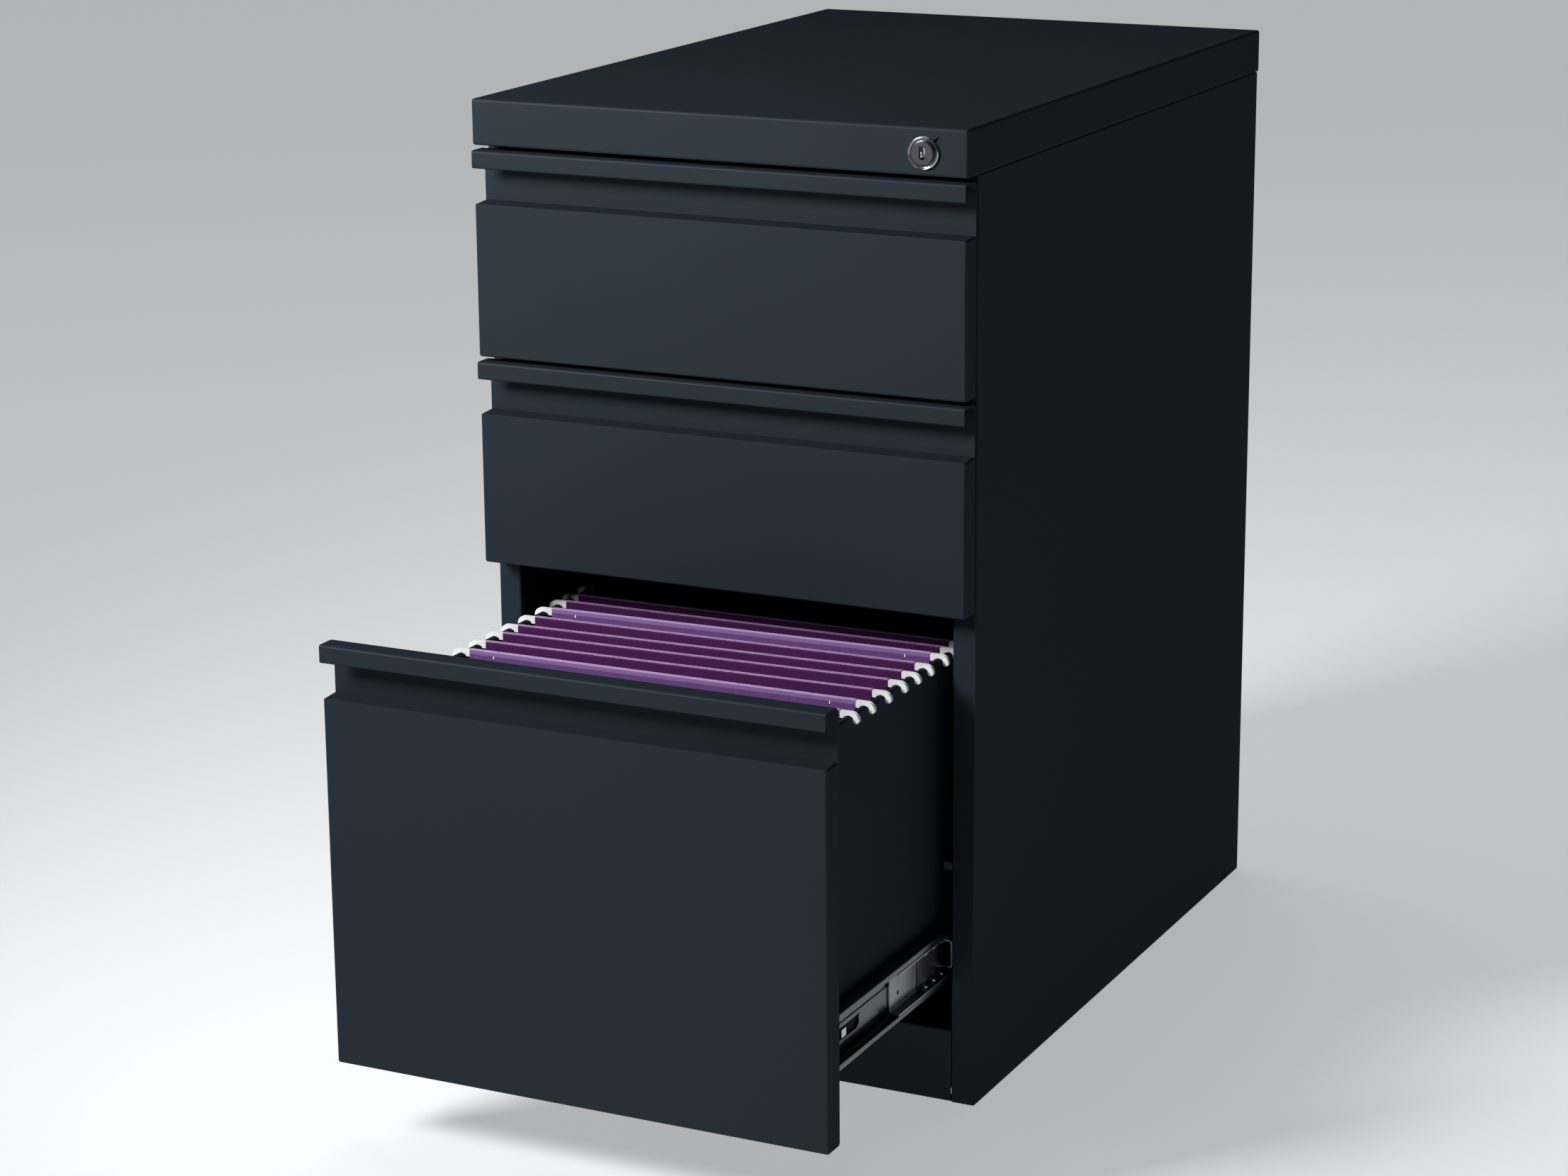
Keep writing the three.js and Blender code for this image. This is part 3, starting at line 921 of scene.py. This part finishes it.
@dataclass
class Drawer:
    """One drawer: its front with the full-width pull, the liner, the box and the catch."""

    name: str
    sheet: float = 1.0
    box_sheet: float = 0.8
    fold: float = 0.9
    lip_proud: float = 2.4
    lip_height: float = 13.0
    lip_hem: float = 4.5
    pull_drop: float = 38.3
    pull_depth: float = 16.0
    pan_depth: float = 16.6
    ledge_rise: float = 1.0
    neck_fold: float = 4.0
    rail: float = 5.4
    rail_fold: float = 1.5
    back_inset: float = 1.5
    back_flange: float = 7.0
    box_edge: float = 0.18

    @property
    def body(self) -> str:
        """The body that the drawer's pieces ride on."""
        return f"{self.name}_drawer"

    def build(self) -> None:
        """Builds and dresses the drawer."""
        self.front()
        self.liner()
        self.box()
        dress(f"{self.name}_lock_catch", 0.3, Coats.zinc, self.body)

    def front(self) -> None:
        """The face, the recess of the pull and its lip, folded from one sheet."""
        node = f"{self.name}_drawer_front"
        box = Box.of(node)
        face = box.front + self.lip_proud
        ledge = box.top - self.pull_drop
        neck = face + self.pull_depth
        lip = box.front + self.sheet
        lip_bottom = box.top - self.lip_height + self.sheet
        path = [
            (face + self.pan_depth, box.bottom),
            (face, box.bottom),
            (face, ledge),
            (neck, ledge + self.ledge_rise),
            (neck, box.top - self.sheet, self.neck_fold),
            (lip, box.top - self.sheet),
            (lip, lip_bottom),
            (lip + self.lip_hem - self.sheet / 2, lip_bottom),
        ]
        shape = Shape().fold(path, Axis.X, box.left, box.right, self.sheet, self.fold, closed_ends=4)
        shape.thicken(self.sheet).soften(0.22).finish(node, Coats.charcoal, self.body, node)

    def liner(self) -> None:
        """The shallow pan that closes the back of the front."""
        node = f"{self.name}_drawer_liner"
        shape = Shape().tray(Box.of(node), Vector((0, -1, 0)), self.fold + self.sheet / 2)
        shape.thicken(self.sheet).soften(0.2).finish(node, Coats.charcoal, self.body, node)

    def box(self) -> None:
        """The bottom and sides in one sheet with rolled rails, and the back."""
        node = f"{self.name}_drawer_box"
        box = Box.of(node)
        rail = box.right - self.rail
        hem = box.top - self.rail
        path = [
            (rail, hem),
            (rail, box.top, self.rail_fold),
            (box.right, box.top, self.rail_fold),
            (box.right, box.bottom),
            (box.left, box.bottom),
            (box.left, box.top, self.rail_fold),
            (-rail, box.top, self.rail_fold),
            (-rail, hem),
        ]
        shape = Shape().fold(path, Axis.Y, box.front, box.rear, self.box_sheet, self.fold, 5)
        shape.thicken(self.box_sheet).soften(self.box_edge).finish(node, Coats.charcoal, self.body, node)
        self.back(box)

    def back(self, box: Box) -> None:
        """The back of the drawer's box, with its top edge turned in."""
        rear = box.rear - self.back_inset
        flange = rear - self.back_flange
        top = box.top - self.rail - 1
        clear = self.box_sheet + 0.1
        half = box.right - clear
        low = box.bottom + clear
        path = [(flange, top), (rear, top), (rear, low), (flange, low)]
        shape = Shape().fold(path, Axis.X, -half, half, self.box_sheet, self.fold)
        shape.thicken(self.box_sheet).soften(self.box_edge)
        shape.finish(f"{self.name}_drawer_back", Coats.charcoal, self.body)


# ---- Slides --------------------------------------------------------------


@dataclass
class Slide:
    """A telescopic slide: three members, one ball cage and two sets of balls.

    Sections are drawn as (outward from the drawer's side, up from the centre line).
    """

    drawer: str
    side: Side
    sheet: float = 1.2
    fold: float = 1.1
    edge: float = 0.2
    half_height: float = 21.5
    play: float = 0.35
    bead: tuple[float, float] = (-10.5, 5.5)
    bead_height: float = 0.75
    slot_radius: float = 4.6
    slot_reach: float = 16.0
    slot_from_front: float = 69.0
    curl: float = 11.0
    curl_end: float = 16.2
    tab_ahead: float = 6.0
    tab_sheet: float = 0.7
    tab_out: float = 2.5
    tab_span: tuple[float, float] = (-5.4, 0.6)
    middle_lip: float = 11.2
    middle_web: float = 2.7
    middle_half: float = 15.6
    rivet: float = 1.6
    cabinet_lip: float = 4.8
    cabinet_web: float = 12.7
    cabinet_half: float = 10.5
    cage_lip: float = 9.0
    cage_web: float = 4.3
    cage_half: float = 13.3
    cage_sheet: float = 0.6
    races: tuple[Point, Point] = ((7.4, 12.45, 1.85), (6.2, 18.0, 2.25))
    first_ball: float = 6.0
    ball_pitch: float = 14.0
    inner_cage: tuple[float, float] = (46.0, 300.0)
    outer_cage: tuple[float, float] = (14.0, 240.0)

    def node(self, member: str) -> str:
        """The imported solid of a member."""
        return f"{self.drawer}_slide_{member}_{self.side.label}"

    def build(self) -> None:
        """Builds and dresses the slide."""
        drawer = Box.of(self.node("drawer"))
        self.wall = min(abs(drawer.left), abs(drawer.right)) - self.play
        self.centre = (drawer.bottom + drawer.top) / 2
        self.drawer_member(drawer)
        self.middle_member()
        self.cabinet_member()
        self.cages(Box.of(self.node("middle")))

    def section(self, path: Sequence[Point]) -> list[Point]:
        """Turns a section into the slide's own place, with the outside still on the left."""
        hand = self.side.value
        placed = [(hand * (self.wall + out), self.centre + up, *more) for out, up, *more in path]
        return placed if self.side is Side.RIGHT else placed[::-1]

    def point(self, out: float, up: float, along: float) -> Vector:
        """A point of the slide, given outward, up and along."""
        return Vector((self.side.value * (self.wall + out), along, self.centre + up))

    def member(self, name: str, box: Box, path: Sequence[Point], fold: float, coat: Finish, body: str,
               holes: Iterable[Hole] = ()) -> None:
        """Folds one member to its section, punches it and finishes it.

        Args:
            name: the member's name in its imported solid.
            box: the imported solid's box.
            path: the section, as (outward, up) points.
            fold: the usual inner radius of its folds.
            coat: its finish.
            body: the body that it rides on.
            holes: (middle, radius, reach, flats) of each hole.
        """
        node = self.node(name)
        shape = Shape().fold(self.section(path), Axis.Y, box.front, box.rear, self.sheet, fold, 5)
        for place, radius, reach, flats in holes:
            shape.punch(place, radius, Vector((0, 1, 0)), reach, flats)
        shape.thicken(self.sheet).soften(self.edge).finish(node, coat, body, node)

    def drawer_member(self, box: Box) -> None:
        """The widest channel, on the drawer: a beaded web, curled races and two slots."""
        low, high = self.bead
        curl, lip, half, web = self.curl, self.curl_end, self.half_height, self.play
        crest = web + self.bead_height
        path = [(curl, -lip, 0.3), (curl, -half, 1.5), (web, -half, 1.9), (web, low),
                (crest, low + self.bead_height), (crest, high - self.bead_height), (web, high),
                (web, half, 1.9), (curl, half, 1.5), (curl, lip, 0.3)]
        slots = [(self.point(crest, (low + high) / 2, along), self.slot_radius, self.slot_reach, 8)
                 for along in (box.front + self.slot_from_front, box.rear - self.slot_from_front)]
        self.member("drawer", box, path, 0.4, Coats.channel, f"{self.drawer}_drawer", slots)
        self.bayonet(box.front + self.slot_from_front - self.tab_ahead)

    def bayonet(self, along: float) -> None:
        """The tab bent out of the drawer's side that holds the member by its slot. Its very pale metal
        paints the tab's bright glint.
        """
        low, high = self.tab_span
        path = [(0.1, low - self.tab_sheet - 0.3), (0.1, low), (self.tab_out, low), (self.tab_out, high)]
        shape = Shape().fold(self.section(path), Axis.Y, along - 3, along + 4, self.tab_sheet, 0.4, 3)
        shape.thicken(self.tab_sheet).soften(0.15)
        shape.finish(f"{self.drawer}_slide_tab_{self.side.label}", Coats.tab, f"{self.drawer}_drawer")

    def middle_member(self) -> None:
        """The intermediate channel, with a rivet hole near each end."""
        box = Box.of(self.node("middle"))
        lip, web, half = self.middle_lip, self.middle_web, self.middle_half
        path = [(lip, -half, 0.3), (web, -half, 1.4), (web, half, 1.4), (lip, half, 0.3)]
        rivets = [(self.point(web, -4, along), self.rivet, 0.0, 5)
                  for along in (box.front + 14, box.rear - 40)]
        self.member("middle", box, path, 0.8, Coats.zinc, f"{self.drawer}_slides", rivets)

    def cabinet_member(self) -> None:
        """The narrow channel, riveted to the uprights."""
        lip, web, half = self.cabinet_lip, self.cabinet_web, self.cabinet_half
        path = [(lip, half), (web, half, 1.4), (web, -half, 1.4), (lip, -half)]
        self.member("cabinet", Box.of(self.node("cabinet")), path, 0.8, Coats.zinc, "cabinet")

    def cages(self, middle: Box) -> None:
        """The strip that spaces the inner set of balls, and the balls in the four races."""
        body = f"{self.drawer}_slides"
        start, end = (middle.front + along for along in self.inner_cage)
        lip, flat, half = self.cage_lip, self.cage_web, self.cage_half
        web = [(lip, -half), (flat, -half, 1.0), (flat, half, 1.0), (lip, half)]
        inner = Shape().fold(self.section(web), Axis.Y, start, end, self.cage_sheet, 0.6)
        inner.thicken(self.cage_sheet).soften(0.12)
        inner.finish(f"{self.drawer}_slide_cage_{self.side.label}", Coats.cage, body)
        balls = Shape()
        for (out, up, radius), span in zip(self.races, (self.inner_cage, self.outer_cage)):
            for number in range(int((span[1] - span[0]) / self.ball_pitch)):
                for over in (-up, up):
                    along = middle.front + span[0] + self.first_ball + number * self.ball_pitch
                    bmesh.ops.create_uvsphere(balls.bm, u_segments=8, v_segments=6, radius=radius,
                                              matrix=Matrix.Translation(self.point(out, over, along)))
        balls.finish(f"{self.drawer}_slide_balls_{self.side.label}", Coats.chrome, body)


# ---- Lock ----------------------------------------------------------------


@dataclass
class Lock:
    """The cylinder lock in the cap, its cam, and the bar that holds the drawers."""

    keyway_radius: float = 2.3
    keyway_reach: float = 2.2
    keyway_depth: float = 6.0
    ward_depth: float = 0.9
    play: float = 0.35
    bezel_in: float = 0.15
    bezel_wall: float = 2.0
    nut: tuple[float, float] = (3.5, 7.5)

    def build(self) -> None:
        """Builds and dresses the lock."""
        barrel = Box.of("lock_barrel")
        plug = Box.of("lock_plug")
        self.centre = Vector((plug.middle.x, 0, plug.middle.z))
        self.barrel(barrel, plug.width / 2 + self.play)
        self.plug(plug)
        self.wards(plug.front + self.ward_depth)
        dress("lock_cam", 0.3, Coats.zinc, "lock_cylinder")
        dress("lock_bar", 0.3, Coats.zinc, "lock_bar_slider")

    def barrel(self, box: Box, bore: float) -> None:
        """The bezel's rim and dish, the barrel behind it and its fixing nut."""
        bezel = box.width / 2 - self.bezel_in
        front = box.front
        barrel = bezel - self.bezel_wall
        profile = [
            (bore, box.rear), (bore, front + 1.4), (bore + 0.2, front + 1.35), (bore + 0.7, front + 1.15),
            (bore + 1.2, front + 0.75), (bore + 1.55, front + 0.3), (bore + 1.7, front + 0.25),
            (bezel - 1.5, front + 1.2), (bezel - 1.2, front + 1.2), (bezel - 1.1, front + 0.3),
            (bezel - 0.9, front + 0.08), (bezel - 0.7, front), (bezel - 0.4, front + 0.1),
            (bezel - 0.1, front + 0.45), (bezel, front + 0.95),
            (bezel, front + 1.65), (barrel, front + 1.65), (barrel, box.rear), (bore, box.rear),
        ]
        shape = Shape().spin(profile, self.centre, Axis.Y, 72)
        shape.finish("lock_barrel", Coats.chrome, "cabinet", "lock_barrel")
        corners = hexagon(bezel + 1, self.centre.x, self.centre.z)
        ring = Shape().plate(corners, Axis.Y, *(front + behind for behind in self.nut))
        ring.soften(0.5, 3).finish("lock_nut", Coats.zinc, "cabinet")

    def plug(self, box: Box) -> None:
        """The plug with its broken edge and the keyway in its face."""
        radius = box.width / 2
        front, rear = box.front, box.rear
        shape = Shape()
        face = Vector((self.centre.x, front, self.centre.z))
        ring = bmesh.ops.create_circle(
            shape.bm, cap_ends=True, segments=64, radius=radius,
            matrix=Matrix.Translation(face) @ Matrix.Rotation(math.pi / 2, 4, "X"))["verts"]
        disc = ring[0].link_faces[0]
        bmesh.ops.inset_region(shape.bm, faces=[disc], thickness=radius * 0.5)
        shape.punch(face, self.keyway_radius, Vector((0, 0, 1)), self.keyway_reach)
        rims = [e for e in shape.bm.edges if e.is_boundary]
        outer = [e for e in rims if max((v.co - face).length for v in e.verts) > radius - 0.01]
        inner = [e for e in rims if e not in outer]
        for loop, depth in ((outer, rear - front), (inner, self.keyway_depth)):
            made = bmesh.ops.extrude_edge_only(shape.bm, edges=loop)["geom"]
            verts = [g for g in made if isinstance(g, bmesh.types.BMVert)]
            edges = [g for g in made if isinstance(g, bmesh.types.BMEdge) and g.is_boundary]
            bmesh.ops.translate(shape.bm, verts=verts, vec=(0, depth, 0))
            bmesh.ops.contextual_create(shape.bm, geom=edges)
        bmesh.ops.recalc_face_normals(shape.bm, faces=shape.bm.faces)
        shape.soften(0.35, 3, 60)
        shape.finish("lock_plug", Coats.plug, "lock_cylinder", "lock_plug")

    def wards(self, front: float) -> None:
        """The two staggered ribs inside the keyway."""
        shape = Shape()
        for across, up in (((-1.9, -0.5), (-3.2, 1.0)), ((0.5, 1.9), (-0.8, 3.4))):
            low = self.centre + Vector((across[0], front, up[0]))
            high = self.centre + Vector((across[1], front + 4, up[1]))
            shape.block(low, high)
        shape.soften(0.3, 3).finish("lock_wards", Coats.chrome, "lock_cylinder")


# ---- Folders -------------------------------------------------------------


@dataclass
class FolderRow:
    """The hanging folders: a sleeve of card over two flat rods with hooked ends."""

    count: int = 10
    lavender: tuple[int, ...] = (2, 7)
    paper_half: float = 149.0
    card: float = 0.35
    spread: float = 2.0
    hem: float = 14.0
    rod: float = 0.9
    rod_half: float = 163.3
    rod_below_top: float = 0.55
    rod_apart: float = 1.15
    rail_inner: float = 152.4
    slot_below_top: float = 4.2
    strip: float = 3.3
    hook_width: float = 4.3
    hook_drop: float = 8.0
    slot_in: float = 19.0

    @staticmethod
    def node(number: int) -> str:
        """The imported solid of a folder."""
        return f"hanging_folder_{number}"

    def build(self) -> None:
        """Builds every folder where its solid hangs, with that solid's skew."""
        for number in range(1, self.count + 1):
            box = Box.of(self.node(number))
            depth = box.rear - box.front
            skew = math.degrees(math.asin((depth - 2 * self.spread) / (2 * self.paper_half)))
            centre = Vector((0, (box.front + box.rear) / 2, 0))
            coat = Coats.lavender if number in self.lavender else Coats.plum
            self.sleeve(number, box, centre, skew, coat)
            self.rods(number, box, centre, skew)

    def sleeve(self, number: int, box: Box, centre: Vector, skew: float, coat: Finish) -> None:
        """The folded card.

        Args:
            number: the folder's place in the row.
            box: its packed box.
            centre: the middle of the folder on plan.
            skew: how far it hangs askew, in degrees.
            coat: its card.
        """
        y, out, gap = centre.y, self.spread, 0.27
        top, bottom = box.top, box.bottom
        path = [(y + gap, top - self.hem), (y + gap, top), (y + out, top), (y + out, bottom, 1.5),
                (y - out, bottom, 1.5), (y - out, top), (y - gap, top), (y - gap, top - self.hem)]
        shape = Shape().fold(path, Axis.X, -self.paper_half, self.paper_half, self.card, 0.45)
        if coat is Coats.lavender:
            for hand in (-1, 1):
                along = hand * (self.paper_half - self.slot_in)
                place = Vector((along, y - out, top - self.slot_below_top))
                shape.punch(place, 0.7, Vector((0, 0, 1)), 1.0, 4)
        shape.thicken(self.card).turn(skew, centre)
        shape.finish(f"{self.node(number)}_sleeve", coat, "file_drawer", self.node(number))

    def rods(self, number: int, box: Box, centre: Vector, skew: float) -> None:
        """The two flat rods, each hooked over both of the drawer's rails.

        Args:
            number: the folder's place in the row.
            box: its packed box.
            centre: the middle of the folder on plan.
            skew: how far it hangs askew, in degrees.
        """
        reach, rail = self.rod_half, self.rail_inner
        top = box.top - self.rod_below_top
        notch = top - self.strip
        tip = top - self.hook_drop
        inner = reach - self.hook_width
        right = [(0, notch), (rail - 4, notch - 1.6), (rail, notch - 1.6, 0.9), (rail, notch, 1.0),
                 (inner, notch, 1.2), (inner, tip, 2.0), (reach, tip, 2.0), (reach, top, 5.4), (0, top)]
        left = [(-p[0], *p[1:]) for p in reversed(right[1:-1])]
        for hand, label in ((-1, "near"), (1, "far")):
            place = centre.y + hand * self.rod_apart
            shape = Shape().plate(right + left, Axis.Y, place - self.rod / 2, place + self.rod / 2)
            shape.soften(0.15, 2, 60).turn(skew, centre)
            shape.finish(f"{self.node(number)}_rod_{label}", Coats.hook, "file_drawer")


# ---- Studio --------------------------------------------------------------


@dataclass(frozen=True)
class Softbox:
    """A square studio light aimed at a point, in metres."""

    name: str
    place: Point
    aim: Point
    size: float
    watts: float
    spread: float = 180.0
    tint: Colour = (1.0, 1.0, 1.0)

    def hang(self) -> None:
        """Hangs the light."""
        light = bpy.data.lights.new(self.name, "AREA")
        light.size = self.size
        light.energy = self.watts
        light.color = self.tint
        light.spread = math.radians(self.spread)
        lamp = bpy.data.objects.new(self.name, light)
        lamp.location = self.place
        away = Vector(self.aim) - Vector(self.place)
        lamp.rotation_euler = away.to_track_quat("-Z", "Y").to_euler()
        bpy.context.scene.collection.objects.link(lamp)


@dataclass
class Studio:
    """The floor, the lights and the camera."""

    lens: float = 87.46
    sensor: float = 36.0
    place: Point = (1.1846, -2.4883, 1.0781)
    yaw: float = -0.4562
    pitch: float = 0.2669
    roll: float = -0.0076
    floor_radius: float = 30.0
    floor_colour: Colour = (0.86, 0.87, 0.88)
    floor_glow: float = 0.5
    ambient: Colour = (0.5, 0.52, 0.55)
    ambient_strength: float = 0.03
    lights: list[Softbox] = field(default_factory=lambda: [
        Softbox("key", (-0.95, -1.45, 1.4), (-0.05, -0.18, 0.68), 0.6, 10, 80),
        Softbox("overhead", (-0.6, 0.6, 3.2), (-0.2, 0.2, 0), 2.0, 16),
    ])

    def build(self) -> None:
        """Sets up everything round the pedestal."""
        scene = bpy.context.scene
        scene.view_settings.view_transform = "Standard"
        world = bpy.data.worlds.new("studio")
        world.use_nodes = True
        sky = world.node_tree.nodes["Background"]
        sky.inputs[0].default_value = (*self.ambient, 1)
        sky.inputs[1].default_value = self.ambient_strength
        scene.world = world
        for light in self.lights:
            light.hang()
        self.floor()
        self.camera()

    def floor(self) -> None:
        """A plain pale floor."""
        bm = bmesh.new()
        bmesh.ops.create_circle(bm, cap_ends=True, segments=96, radius=self.floor_radius)
        mesh = bpy.data.meshes.new("floor")
        bm.to_mesh(mesh)
        bm.free()
        floor = bpy.data.objects.new("floor", mesh)
        bpy.context.scene.collection.objects.link(floor)
        bench = Bench("floor_paint")
        cloud = bench.noise(700, 3)
        tone = tuple(c * 0.97 for c in self.floor_colour)
        bench.set(
            Base_Color=bench.blend(cloud, tone, self.floor_colour),
            Roughness=0.7,
            Emission_Color=(*self.floor_colour, 1),
            Emission_Strength=self.floor_glow,
        )
        mesh.materials.append(bench.material)

    def camera(self) -> None:
        """The camera, from its place, heading, tilt and roll."""
        lens = bpy.data.cameras.new("camera")
        lens.lens = self.lens
        lens.sensor_width = self.sensor
        lens.clip_end = 100
        camera = bpy.data.objects.new("camera", lens)
        forward = Vector((math.sin(self.yaw), math.cos(self.yaw), 0))
        ahead = forward * math.cos(self.pitch) - Vector((0, 0, math.sin(self.pitch)))
        level = Vector((math.cos(self.yaw), -math.sin(self.yaw), 0))
        up = level.cross(ahead)
        right = level * math.cos(self.roll) + up * math.sin(self.roll)
        rotation = Matrix((right, right.cross(ahead), -ahead)).transposed()
        camera.matrix_world = Matrix.Translation(self.place) @ rotation.to_4x4()
        bpy.context.scene.collection.objects.link(camera)
        bpy.context.scene.camera = camera


def main() -> None:
    """Builds the pedestal and the studio round it."""
    logging.basicConfig(level=logging.INFO, format="%(name)s %(message)s")
    Studio().build()
    Carcass().build()
    for name in ("upper", "middle", "file"):
        Drawer(name).build()
        for side in Side:
            Slide(name, side).build()
    Lock().build()
    FolderRow().build()


if __name__ == "__main__":
    main()
